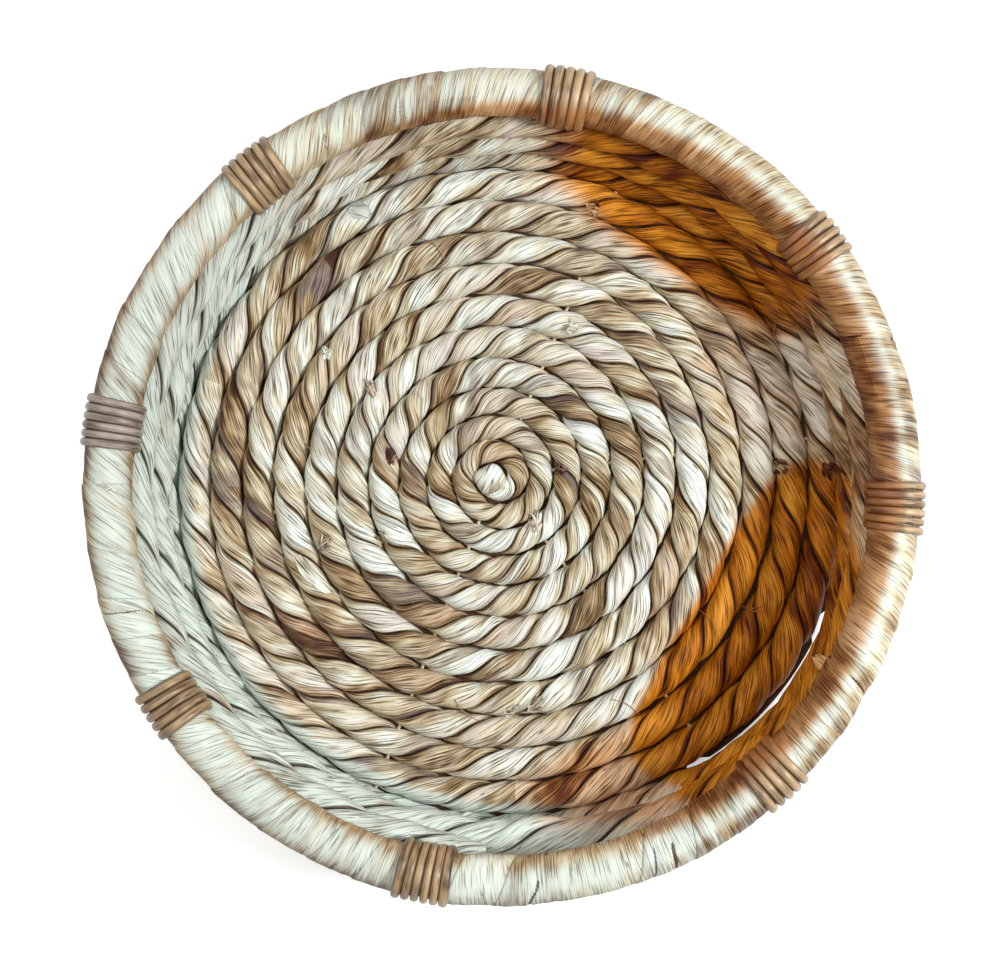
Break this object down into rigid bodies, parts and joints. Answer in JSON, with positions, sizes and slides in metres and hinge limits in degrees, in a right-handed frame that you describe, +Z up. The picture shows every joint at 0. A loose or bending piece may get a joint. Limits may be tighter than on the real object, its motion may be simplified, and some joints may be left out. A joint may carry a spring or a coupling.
{
  "type": "coiled tray",
  "caption": "Round shallow tray wound from twisted leaf rope, with a two-course rope wall and a leaf-wrapped hoop rim lashed on with cane.",
  "frame": {"origin": "on the surface that the tray stands on, at the middle of its overall box", "axes": "+Z up, out of the tray's mouth; +X towards the right of the picture and +Y towards its top"},
  "size_m": [0.3657, 0.3635, 0.0661],
  "materials": {
    "floor_rope": "twisted dry leaf, straw with tan and purple-brown streaks, satin",
    "wall_rope": "twisted dry leaf, pale straw with a greenish cast, satin",
    "rattan_core": "peeled rattan, matte",
    "leaf_wrapping": "flat dry leaf wound crosswise, cream, satin",
    "cane": "round cane, tan brown, glossy skin",
    "twine": "thin sewing twine, matte",
    "brad_steel": "plain wire brads"
  },
  "bodies": {
    "root": {"floor_coil": "floor_rope", "wall_coil": "wall_rope", "rim_core": "rattan_core", "rim_wrap": "leaf_wrapping", "lashing_1": "cane", "lashing_2": "cane", "lashing_3": "cane", "lashing_4": "cane", "lashing_5": "cane", "lashing_6": "cane", "lashing_7": "cane", "lashing_8": "cane", "floor_stitch_1": "twine", "floor_stitch_2": "twine", "floor_stitch_3": "twine", "floor_stitch_4": "twine", "floor_stitch_5": "twine", "floor_stitch_6": "twine", "wall_stitch_1": "twine", "wall_stitch_2": "twine", "wall_stitch_3": "twine", "wall_stitch_4": "twine", "wall_stitch_5": "twine", "wall_stitch_6": "twine", "wall_stitch_7": "twine", "scarf_brad_1": "brad_steel", "scarf_brad_2": "brad_steel"}
  },
  "joints": []
}
